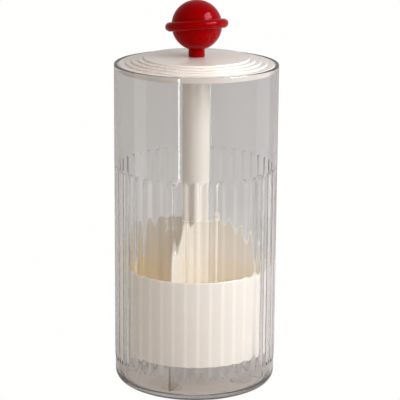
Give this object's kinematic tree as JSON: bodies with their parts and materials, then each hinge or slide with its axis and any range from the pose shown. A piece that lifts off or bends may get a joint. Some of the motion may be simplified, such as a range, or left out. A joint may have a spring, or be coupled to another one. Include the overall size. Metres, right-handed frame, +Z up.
{
  "type": "makeup brush holder",
  "caption": "Clear reeded canister with a lift-out core: stepped round lid, ringed ball knob, centre post and a divided brush cup that turns about the post.",
  "frame": {"origin": "on the table surface, under the canister's axis", "axes": "+Z up along the canister's axis, -Y towards the viewer, +X to the viewer's right"},
  "size_m": [0.1, 0.1, 0.2388],
  "materials": {
    "clear_grey": "clear, slightly smoky grey, polished",
    "pad_rubber": "translucent soft pad",
    "cream": "cream, satin gloss",
    "red": "deep red, high gloss",
    "plain_white": "plain moulded, hidden",
    "zinc_steel": "zinc plated"
  },
  "bodies": {
    "canister": {"canister": "clear_grey", "foot_pad_1": "pad_rubber", "foot_pad_2": "pad_rubber", "foot_pad_3": "pad_rubber", "foot_pad_4": "pad_rubber"},
    "lift_core": {"lid": "cream", "knob": "red", "knob_stud": "zinc_steel", "centre_post": "cream", "post_top_plug": "plain_white", "post_foot_plug": "plain_white", "cup_screw": "zinc_steel", "cup_washer": "zinc_steel"},
    "turning_cup": {"brush_cup": "cream", "divider_cross": "cream"}
  },
  "joints": [
    {"name": "core_lift", "type": "slide", "parent": "canister", "child": "lift_core", "axis": [0, 0, 1], "range_m": [0, 0.185]},
    {"name": "cup_turn", "type": "hinge", "parent": "lift_core", "child": "turning_cup", "pos_m": [0, 0, 0.0206], "axis": [0, 0, 1], "continuous": true}
  ]
}
